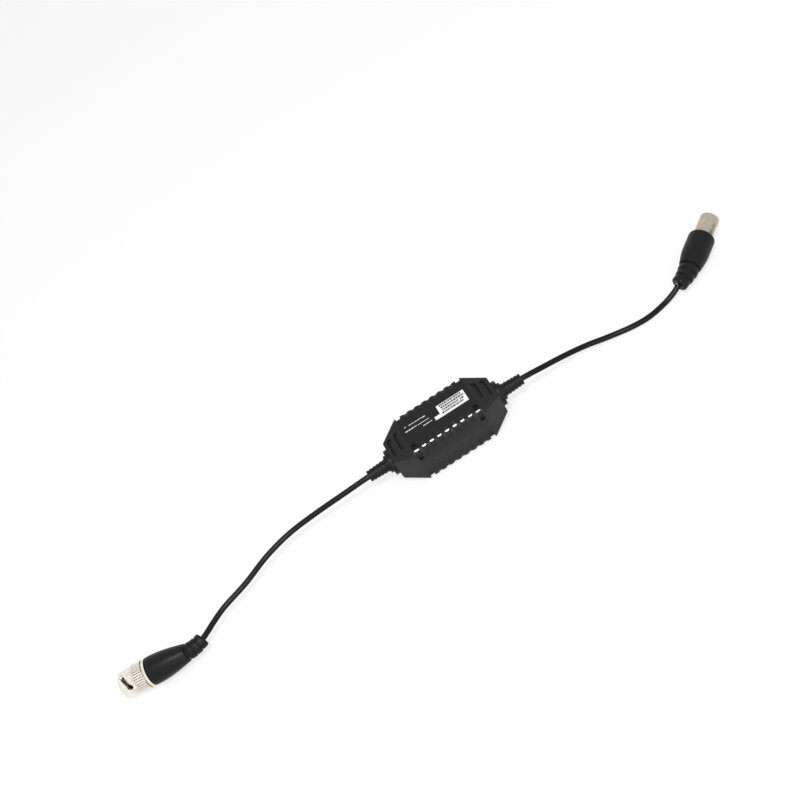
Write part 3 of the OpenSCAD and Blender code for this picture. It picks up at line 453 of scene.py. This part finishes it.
def rubbedEdges():
    tree, given, result = addGroup("rubbedEdges", [
        ("Start", "NodeSocketFloat", 0.52), ("End", "NodeSocketFloat", 0.62),
        ("Breaks per Metre", "NodeSocketFloat", 600.0)],
        [("Mask", "NodeSocketFloat")])
    shape = addNode(tree, "ShaderNodeNewGeometry")
    where = addNode(tree, "ShaderNodeTexCoord")
    breaks = addNode(tree, "ShaderNodeTexNoise", {"Detail": 3.0})
    spread = addNode(tree, "ShaderNodeMapRange")
    keep = addNode(tree, "ShaderNodeMath", operation="MULTIPLY")
    tree.links.new(where.outputs["Object"], breaks.inputs["Vector"])
    tree.links.new(given.outputs["Breaks per Metre"], breaks.inputs["Scale"])
    tree.links.new(shape.outputs["Pointiness"], spread.inputs["Value"])
    tree.links.new(given.outputs["Start"], spread.inputs["From Min"])
    tree.links.new(given.outputs["End"], spread.inputs["From Max"])
    tree.links.new(spread.outputs["Result"], keep.inputs[0])
    tree.links.new(breaks.outputs["Fac"], keep.inputs[1])
    tree.links.new(keep.outputs[0], result.inputs["Mask"])
    return tree


# Mask of faces that point up, used for painted shade: the housing's top is coloured darker than its sides.
def upwardFaces():
    tree, given, result = addGroup("upwardFaces", [
        ("From", "NodeSocketFloat", 0.85), ("To", "NodeSocketFloat", 0.98)],
        [("Mask", "NodeSocketFloat")])
    where = addNode(tree, "ShaderNodeTexCoord")
    parts = addNode(tree, "ShaderNodeSeparateXYZ")
    spread = addNode(tree, "ShaderNodeMapRange")
    tree.links.new(where.outputs["Normal"], parts.inputs["Vector"])
    tree.links.new(parts.outputs["Z"], spread.inputs["Value"])
    tree.links.new(given.outputs["From"], spread.inputs["From Min"])
    tree.links.new(given.outputs["To"], spread.inputs["From Max"])
    tree.links.new(spread.outputs["Result"], result.inputs["Mask"])
    return tree


# Mask of points within the bore's radius of a connector's axis, used for painted shade inside the bore.
def boreShadeMask():
    tree, given, result = addGroup("boreShadeMask", [
        ("Rim", "NodeSocketVector", (0, 0, 0)), ("Axis", "NodeSocketVector", (1, 0, 0)),
        ("Bore", "NodeSocketFloat", 0.0052)],
        [("Mask", "NodeSocketFloat")])
    where = addNode(tree, "ShaderNodeTexCoord")
    reach = addNode(tree, "ShaderNodeVectorMath", operation="SUBTRACT")
    along = addNode(tree, "ShaderNodeVectorMath", operation="DOT_PRODUCT")
    back = addNode(tree, "ShaderNodeVectorMath", operation="SCALE")
    off = addNode(tree, "ShaderNodeVectorMath", operation="SUBTRACT")
    radius = addNode(tree, "ShaderNodeVectorMath", operation="LENGTH")
    inside = addNode(tree, "ShaderNodeMath", operation="LESS_THAN")
    tree.links.new(where.outputs["Object"], reach.inputs[0])
    tree.links.new(given.outputs["Rim"], reach.inputs[1])
    tree.links.new(reach.outputs["Vector"], along.inputs[0])
    tree.links.new(given.outputs["Axis"], along.inputs[1])
    tree.links.new(given.outputs["Axis"], back.inputs[0])
    tree.links.new(along.outputs["Value"], back.inputs["Scale"])
    tree.links.new(reach.outputs["Vector"], off.inputs[0])
    tree.links.new(back.outputs["Vector"], off.inputs[1])
    tree.links.new(off.outputs["Vector"], radius.inputs[0])
    tree.links.new(radius.outputs["Value"], inside.inputs[0])
    tree.links.new(given.outputs["Bore"], inside.inputs[1])
    tree.links.new(inside.outputs[0], result.inputs["Mask"])
    return tree


# Mask of grooves and hollows by low pointiness, used for painted shade in them.
def grooveShade():
    tree, given, result = addGroup("grooveShade", [
        ("Low", "NodeSocketFloat", 0.4), ("High", "NodeSocketFloat", 0.5)],
        [("Mask", "NodeSocketFloat")])
    shape = addNode(tree, "ShaderNodeNewGeometry")
    spread = addNode(tree, "ShaderNodeMapRange", {"To Min": 1.0, "To Max": 0.0})
    tree.links.new(shape.outputs["Pointiness"], spread.inputs["Value"])
    tree.links.new(given.outputs["Low"], spread.inputs["From Min"])
    tree.links.new(given.outputs["High"], spread.inputs["From Max"])
    tree.links.new(spread.outputs["Result"], result.inputs["Mask"])
    return tree


shaderGroups = {"grain": sparkGrain(), "patches": handledPatches(), "edges": rubbedEdges(),
                "bore": boreShadeMask(), "grooveShadeMask": grooveShade(), "faces": upwardFaces()}
print("shader groups made:", len(shaderGroups))

# Finishes: colours and roughness for each, with grains, patches and hazes counted per metre


wearLook = {"breaks": 900.0, "plasticWander": 0.5, "metalWander": 1.0, "speckle": (0.8, 1.15)}


def newFinish(name):
    material = bpy.data.materials.new(name)
    material.use_nodes = True
    tree = material.node_tree
    return material, tree, tree.nodes["Principled BSDF"]


def placeGroup(tree, kind, **values):
    node = tree.nodes.new("ShaderNodeGroup")
    node.node_tree = shaderGroups[kind]
    for key, value in values.items():
        node.inputs[key.replace("_", " ")].default_value = value
    return node


def mouldedPlastic(name, look):
    material, tree, shader = newFinish(name)
    grain = placeGroup(tree, "grain", Grains_per_Metre=look["grains"], Wander=wearLook["plasticWander"])
    bump = addNode(tree, "ShaderNodeBump", {"Strength": look["grainStrength"], "Distance": look["grainDepth"]})
    tree.links.new(grain.outputs["Height"], bump.inputs["Height"])
    tree.links.new(bump.outputs["Normal"], shader.inputs["Normal"])
    low, high = look["rough"]
    patches = placeGroup(tree, "patches", Patches_per_Metre=look["patches"], Low=low, High=high)
    tree.links.new(patches.outputs["Value"], shader.inputs["Roughness"])
    edges = placeGroup(tree, "edges", Breaks_per_Metre=wearLook["breaks"])
    tint = addNode(tree, "ShaderNodeMix", data_type="RGBA")
    tint.inputs["A"].default_value = (*look["colour"], 1)
    tint.inputs["B"].default_value = (*look["rubbed"], 1)
    tree.links.new(edges.outputs["Mask"], tint.inputs["Factor"])
    speck = addNode(tree, "ShaderNodeMix", data_type="RGBA", blend_type="MULTIPLY")
    dark, light = wearLook["speckle"]
    shade = addNode(tree, "ShaderNodeMapRange", {"From Min": 0.3, "From Max": 0.7, "To Min": dark, "To Max": light})
    speck.inputs["Factor"].default_value = 1.0
    tree.links.new(grain.outputs["Speck"], shade.inputs["Value"])
    tree.links.new(tint.outputs["Result"], speck.inputs["A"])
    tree.links.new(shade.outputs["Result"], speck.inputs["B"])
    # Painted shade: faces that point up take the darker top colour, so the top reads darker than the sides.
    if "topShadeColour" in look:
        faces = placeGroup(tree, "faces")
        topShaded = addNode(tree, "ShaderNodeMix", data_type="RGBA")
        topShaded.inputs["B"].default_value = (*look["topShadeColour"], 1)
        tree.links.new(faces.outputs["Mask"], topShaded.inputs["Factor"])
        tree.links.new(speck.outputs["Result"], topShaded.inputs["A"])
        tree.links.new(topShaded.outputs["Result"], shader.inputs["Base Color"])
    else:
        tree.links.new(speck.outputs["Result"], shader.inputs["Base Color"])
    shader.inputs["Specular IOR Level"].default_value = look["gloss"]
    return material


def platedMetal(name, look):
    material, tree, shader = newFinish(name)
    low, high = look["rough"]
    patches = placeGroup(tree, "patches", Patches_per_Metre=look["patches"], Low=low, High=high)
    tree.links.new(patches.outputs["Value"], shader.inputs["Roughness"])
    haze = placeGroup(tree, "patches", Patches_per_Metre=look["hazes"], Low=0.0, High=1.0)
    tint = addNode(tree, "ShaderNodeMix", data_type="RGBA")
    tint.inputs["A"].default_value = (*look["colour"], 1)
    tint.inputs["B"].default_value = (*look["worn"], 1)
    tree.links.new(haze.outputs["Value"], tint.inputs["Factor"])
    if "rim" in look:
        # Painted shade: the inside of the bore takes the dark inner colour.
        bore = placeGroup(tree, "bore", Rim=look["rim"], Axis=look["axis"], Bore=look["bore"])
        # Painted shade: grooves and hollows take the dark groove colour.
        grooveShadeMask = placeGroup(tree, "grooveShadeMask", Low=look["grooves"][0], High=look["grooves"][1])
        grooveShaded = addNode(tree, "ShaderNodeMix", data_type="RGBA")
        shaded = addNode(tree, "ShaderNodeMix", data_type="RGBA")
        grooveShaded.inputs["B"].default_value = (*look["grooveShadeColour"], 1)
        shaded.inputs["B"].default_value = (*look["boreShadeColour"], 1)
        tree.links.new(grooveShadeMask.outputs["Mask"], grooveShaded.inputs["Factor"])
        tree.links.new(tint.outputs["Result"], grooveShaded.inputs["A"])
        tree.links.new(bore.outputs["Mask"], shaded.inputs["Factor"])
        tree.links.new(grooveShaded.outputs["Result"], shaded.inputs["A"])
        tree.links.new(shaded.outputs["Result"], shader.inputs["Base Color"])
    else:
        tree.links.new(tint.outputs["Result"], shader.inputs["Base Color"])
    grain = placeGroup(tree, "grain", Grains_per_Metre=look["grains"], Wander=wearLook["metalWander"])
    bump = addNode(tree, "ShaderNodeBump", {"Strength": look["grainStrength"], "Distance": look["grainDepth"]})
    tree.links.new(grain.outputs["Height"], bump.inputs["Height"])
    tree.links.new(bump.outputs["Normal"], shader.inputs["Normal"])
    shader.inputs["Metallic"].default_value = 1.0
    return material


finishLooks = {
    # housingPlastic's top colour is painted shade on its upward faces.
    "housingPlastic": {"colour": (0.0115, 0.0115, 0.0117), "rubbed": (0.03, 0.03, 0.031), "grains": 2200.0,
                       "grainStrength": 0.4, "grainDepth": 0.00014, "patches": 90.0, "rough": (0.42, 0.52),
                       "gloss": 0.2, "topShadeColour": (0.0045, 0.0045, 0.0047)},
    "polishedPlastic": {"colour": (0.01, 0.01, 0.01), "rubbed": (0.03, 0.03, 0.03), "grains": 2200.0,
                        "grainStrength": 0.05, "grainDepth": 0.00005, "patches": 90.0, "rough": (0.14, 0.2),
                        "gloss": 0.6},
    "softPvc": {"colour": (0.005, 0.005, 0.0055), "rubbed": (0.01, 0.01, 0.011), "grains": 1800.0,
                "grainStrength": 0.12, "grainDepth": 0.0001, "patches": 110.0, "rough": (0.34, 0.46), "gloss": 0.17},
    "leadJacket": {"colour": (0.002, 0.002, 0.002), "rubbed": (0.006, 0.006, 0.006), "grains": 2600.0,
                   "grainStrength": 0.08, "grainDepth": 0.00008, "patches": 160.0, "rough": (0.24, 0.32),
                   "gloss": 0.16},
    "labelFilm": {"colour": (0.86, 0.86, 0.85), "rubbed": (0.7, 0.7, 0.68), "grains": 5000.0,
                  "grainStrength": 0.05, "grainDepth": 0.00005, "patches": 200.0, "rough": (0.4, 0.5), "gloss": 0.5},
    "printInk": {"colour": (0.72, 0.72, 0.7), "rubbed": (0.6, 0.6, 0.6), "grains": 6000.0,
                 "grainStrength": 0.05, "grainDepth": 0.00003, "patches": 900.0, "rough": (0.5, 0.65), "gloss": 0.4},
    "labelInk": {"colour": (0.04, 0.04, 0.042), "rubbed": (0.1, 0.1, 0.1), "grains": 6000.0,
                 "grainStrength": 0.05, "grainDepth": 0.00003, "patches": 900.0, "rough": (0.5, 0.65), "gloss": 0.4},
    "whitePtfe": {"colour": (0.82, 0.82, 0.79), "rubbed": (0.9, 0.9, 0.88), "grains": 3000.0,
                  "grainStrength": 0.05, "grainDepth": 0.00005, "patches": 300.0, "rough": (0.35, 0.5), "gloss": 0.4},
    "gasketRubber": {"colour": (0.4, 0.05, 0.03), "rubbed": (0.5, 0.1, 0.07), "grains": 3000.0,
                     "grainStrength": 0.05, "grainDepth": 0.00005, "patches": 300.0, "rough": (0.5, 0.65),
                     "gloss": 0.4},
    "boardMask": {"colour": (0.02, 0.16, 0.06), "rubbed": (0.3, 0.32, 0.2), "grains": 1500.0,
                  "grainStrength": 0.1, "grainDepth": 0.00005, "patches": 300.0, "rough": (0.25, 0.4), "gloss": 0.5},
    "ferriteGrey": {"colour": (0.05, 0.05, 0.052), "rubbed": (0.12, 0.12, 0.12), "grains": 2500.0,
                    "grainStrength": 0.3, "grainDepth": 0.0001, "patches": 300.0, "rough": (0.55, 0.7), "gloss": 0.4},
    "ceramicDip": {"colour": (0.55, 0.25, 0.06), "rubbed": (0.6, 0.35, 0.12), "grains": 1500.0,
                   "grainStrength": 0.1, "grainDepth": 0.0001, "patches": 300.0, "rough": (0.3, 0.45), "gloss": 0.5},
    "resistorLacquer": {"colour": (0.62, 0.48, 0.28), "rubbed": (0.65, 0.5, 0.3), "grains": 1500.0,
                        "grainStrength": 0.1, "grainDepth": 0.0001, "patches": 300.0, "rough": (0.25, 0.4),
                        "gloss": 0.5},
}
# The groove colours of plugNickel and jackNickel are painted shade in their grooves and hollows.
metalLooks = {
    "nickelPlate": {"colour": (0.6, 0.58, 0.53), "worn": (0.5, 0.47, 0.42), "patches": 500.0, "hazes": 350.0,
                    "rough": (0.16, 0.3), "grains": 2500.0, "grainStrength": 0.1, "grainDepth": 0.00005},
    # In plugNickel and jackNickel, the inner colour is painted shade inside the bore.
    "plugNickel": {"colour": (0.96, 0.91, 0.83), "worn": (0.77, 0.71, 0.64), "patches": 500.0, "hazes": 700.0,
                   "rough": (0.16, 0.3), "grains": 2500.0, "grainStrength": 0.15, "grainDepth": 0.00005,
                   "rim": [c*mm for c in plugPlace["rim"]], "axis": (-0.99434, 0.10626, 0), "bore": 0.0052,
                   "grooves": (0.4, 0.52), "grooveShadeColour": (0.2, 0.17, 0.13), "boreShadeColour": (0.05, 0.045, 0.04)},
    "jackNickel": {"colour": (0.55, 0.49, 0.41), "worn": (0.38, 0.34, 0.27), "patches": 500.0, "hazes": 700.0,
                   "rough": (0.14, 0.26), "grains": 2500.0, "grainStrength": 0.08, "grainDepth": 0.00005,
                   "rim": [c*mm for c in jackPlace["rim"]], "axis": (0.79529, 0.60366, 0.05582), "bore": 0.0043,
                   "grooves": (0.35, 0.49), "grooveShadeColour": (0.12, 0.1, 0.08), "boreShadeColour": (0.3, 0.28, 0.24)},
    # A dark nickel for the plug's inner body: painted shade, which makes the nut's slots look dark.
    "paintedShadeNickel": {"colour": (0.12, 0.11, 0.1), "worn": (0.07, 0.065, 0.06), "patches": 500.0, "hazes": 350.0,
                        "rough": (0.25, 0.4), "grains": 2500.0, "grainStrength": 0.1, "grainDepth": 0.00005},
    "goldPlate": {"colour": (0.95, 0.7, 0.28), "worn": (0.85, 0.58, 0.2), "patches": 500.0, "hazes": 350.0,
                  "rough": (0.18, 0.3), "grains": 2500.0, "grainStrength": 0.05, "grainDepth": 0.00003},
    "springMetal": {"colour": (0.6, 0.57, 0.5), "worn": (0.5, 0.46, 0.4), "patches": 500.0, "hazes": 350.0,
                    "rough": (0.25, 0.4), "grains": 2500.0, "grainStrength": 0.08, "grainDepth": 0.00004},
    "enamelledCopper": {"colour": (0.75, 0.3, 0.12), "worn": (0.6, 0.2, 0.07), "patches": 800.0, "hazes": 500.0,
                        "rough": (0.2, 0.32), "grains": 2500.0, "grainStrength": 0.04, "grainDepth": 0.00002},
    "reflowedTin": {"colour": (0.75, 0.76, 0.78), "worn": (0.6, 0.61, 0.63), "patches": 800.0, "hazes": 500.0,
                    "rough": (0.2, 0.4), "grains": 2500.0, "grainStrength": 0.1, "grainDepth": 0.00005},
}
finishes = {name: mouldedPlastic(name, look) for name, look in finishLooks.items()}
finishes.update({name: platedMetal(name, look) for name, look in metalLooks.items()})
print("finishes made:", len(finishes))

# CAD nodes that stay: a finish for each, and the radius in mm by which its edges are rounded

nodeFinishes = {
    "top_shell": ("housingPlastic", 0.12), "bottom_shell": ("housingPlastic", 0.12), "label": ("labelFilm", 0.04),
    "circuit_board": ("boardMask", 0.05), "ferrite_core": ("ferriteGrey", 0.2),
    "primary_winding": ("enamelledCopper", 0), "secondary_winding": ("enamelledCopper", 0),
    "bypass_capacitors": ("ceramicDip", 0.1),
    "bleed_resistor": ("resistorLacquer", 0.1), "solder_joints": ("reflowedTin", 0.1),
    # plug_body takes the dark nickel: painted shade seen through the nut's slots.
    "plug_lead_end": ("whitePtfe", 0), "jack_lead_end": ("whitePtfe", 0), "plug_body": ("paintedShadeNickel", 0.05),
    "coupling_nut": ("plugNickel", 0.06), "spring_washer": ("springMetal", 0.04), "snap_ring": ("springMetal", 0.04),
    "plug_gasket": ("gasketRubber", 0.05), "plug_insulator": ("whitePtfe", 0.05), "centre_pin": ("goldPlate", 0.03),
    "plug_crimp": ("nickelPlate", 0.04), "plug_core": ("whitePtfe", 0), "jack_barrel": ("jackNickel", 0.08),
    "jack_insulator": ("whitePtfe", 0.05), "socket_contact": ("goldPlate", 0.03), "jack_crimp": ("nickelPlate", 0.04),
    "jack_core": ("whitePtfe", 0),
}
roundingLook = {"flatUpTo": 0.6, "sharpFrom": 32, "segments": 2}     # degrees, degrees


def dressNode(node, finish, rounding):
    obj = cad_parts[node]
    obj.data.materials.clear()
    obj.data.materials.append(finishes[finish])
    if rounding:
        flatten = obj.modifiers.new("mergeFlats", "DECIMATE")
        flatten.decimate_type = "DISSOLVE"
        flatten.angle_limit = radians(roundingLook["flatUpTo"])
        soften = obj.modifiers.new("softEdges", "BEVEL")
        soften.width = rounding*mm
        soften.segments = roundingLook["segments"]
        soften.limit_method = "ANGLE"
        soften.angle_limit = radians(roundingLook["sharpFrom"])
        soften.harden_normals = True
        soften.use_clamp_overlap = True


for node, (finish, rounding) in nodeFinishes.items():
    dressNode(node, finish, rounding)


def dressPiece(piece, finish, body, slot, *nodes):
    piece.data.materials.append(finishes[finish])
    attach(piece, body)
    if nodes:
        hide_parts(*nodes)


dressPiece(plugLead, "leadJacket", "isolator", "lead_jacket", "plug_lead")
dressPiece(jackLead, "leadJacket", "isolator", "lead_jacket", "jack_lead")
dressPiece(plugRelief, "softPvc", "isolator", "soft_pvc", "plug_strain_relief")
dressPiece(jackRelief, "softPvc", "isolator", "soft_pvc", "jack_strain_relief")
dressPiece(plugBoot, "softPvc", "isolator", "soft_pvc", "plug_boot")
dressPiece(jackBoot, "softPvc", "isolator", "soft_pvc", "jack_boot")
dressPiece(topPrint, "printInk", "isolator", "label_film")
dressPiece(labelPrint, "labelInk", "isolator", "label_film")
dressPiece(gripLands, "polishedPlastic", "isolator", "housing_plastic")

print("pieces dressed")

# Floor, world and lamps

stageLook = {
    "floorSize": 6.0, "floorDrop": 0.0001, "floorColour": (0.95, 0.95, 0.95), "floorRough": 0.9,
    "cameraWhite": 0.7,     # share of plain white that the camera and reflections see in the floor
    "worldLight": 0.66,
}
lampLooks = {
    "overhead": {"place": (-0.04, -0.43, 0.98), "size": 0.25, "watts": 6.0},
    "front": {"place": (0.1, -0.9, 0.4), "size": 0.7, "watts": 3.0},
}


def seenRays(tree):     # 1 where the camera sees the surface, directly, through glass or in a reflection
    path = addNode(tree, "ShaderNodeLightPath")
    direct = addNode(tree, "ShaderNodeMath", operation="MAXIMUM")
    every = addNode(tree, "ShaderNodeMath", operation="MAXIMUM")
    tree.links.new(path.outputs["Is Camera Ray"], direct.inputs[0])
    tree.links.new(path.outputs["Is Transmission Ray"], direct.inputs[1])
    tree.links.new(direct.outputs[0], every.inputs[0])
    tree.links.new(path.outputs["Is Glossy Ray"], every.inputs[1])
    return every


def makeFloor(look):
    mesh = bmesh.new()
    half = look["floorSize"]/2
    corners = ((-1, -1), (1, -1), (1, 1), (-1, 1))
    mesh.faces.new([mesh.verts.new((x*half, y*half, -look["floorDrop"])) for x, y in corners])
    floor = finishMesh("floor", mesh)
    material, tree, shader = newFinish("floorPaper")
    shader.inputs["Base Color"].default_value = (*look["floorColour"], 1)
    shader.inputs["Roughness"].default_value = look["floorRough"]
    shader.inputs["Specular IOR Level"].default_value = 0.0
    glow = addNode(tree, "ShaderNodeEmission", {"Color": (1, 1, 1, 1), "Strength": 1.0})
    share = addNode(tree, "ShaderNodeMath", {1: look["cameraWhite"]}, operation="MULTIPLY")
    mix = addNode(tree, "ShaderNodeMixShader")
    tree.links.new(seenRays(tree).outputs[0], share.inputs[0])
    tree.links.new(share.outputs[0], mix.inputs[0])
    tree.links.new(shader.outputs["BSDF"], mix.inputs[1])
    tree.links.new(glow.outputs["Emission"], mix.inputs[2])
    tree.links.new(mix.outputs["Shader"], tree.nodes["Material Output"].inputs["Surface"])
    floor.data.materials.append(material)


def makeWorld(look):
    world = bpy.data.worlds.new("studio")
    world.use_nodes = True
    tree = world.node_tree
    light = tree.nodes["Background"]
    light.inputs["Color"].default_value = (1, 1, 1, 1)
    light.inputs["Strength"].default_value = look["worldLight"]
    seen = addNode(tree, "ShaderNodeBackground", {"Color": (1, 1, 1, 1), "Strength": 1.0})
    mix = addNode(tree, "ShaderNodeMixShader")
    tree.links.new(seenRays(tree).outputs[0], mix.inputs[0])
    tree.links.new(light.outputs["Background"], mix.inputs[1])
    tree.links.new(seen.outputs["Background"], mix.inputs[2])
    tree.links.new(mix.outputs["Shader"], tree.nodes["World Output"].inputs["Surface"])
    bpy.context.scene.world = world


def makeLamp(name, look):
    lamp = bpy.data.lights.new(name, "AREA")
    lamp.shape = "DISK"
    lamp.size = look["size"]
    lamp.energy = look["watts"]
    obj = collect(bpy.data.objects.new(name, lamp))
    obj.location = look["place"]
    obj.rotation_euler = (-Vector(look["place"])).to_track_quat("-Z", "Y").to_euler()


makeFloor(stageLook)
makeWorld(stageLook)
for lampName, lampLook in lampLooks.items():
    makeLamp(lampName, lampLook)
bpy.context.scene.view_settings.view_transform = "Standard"
print("stage lit")
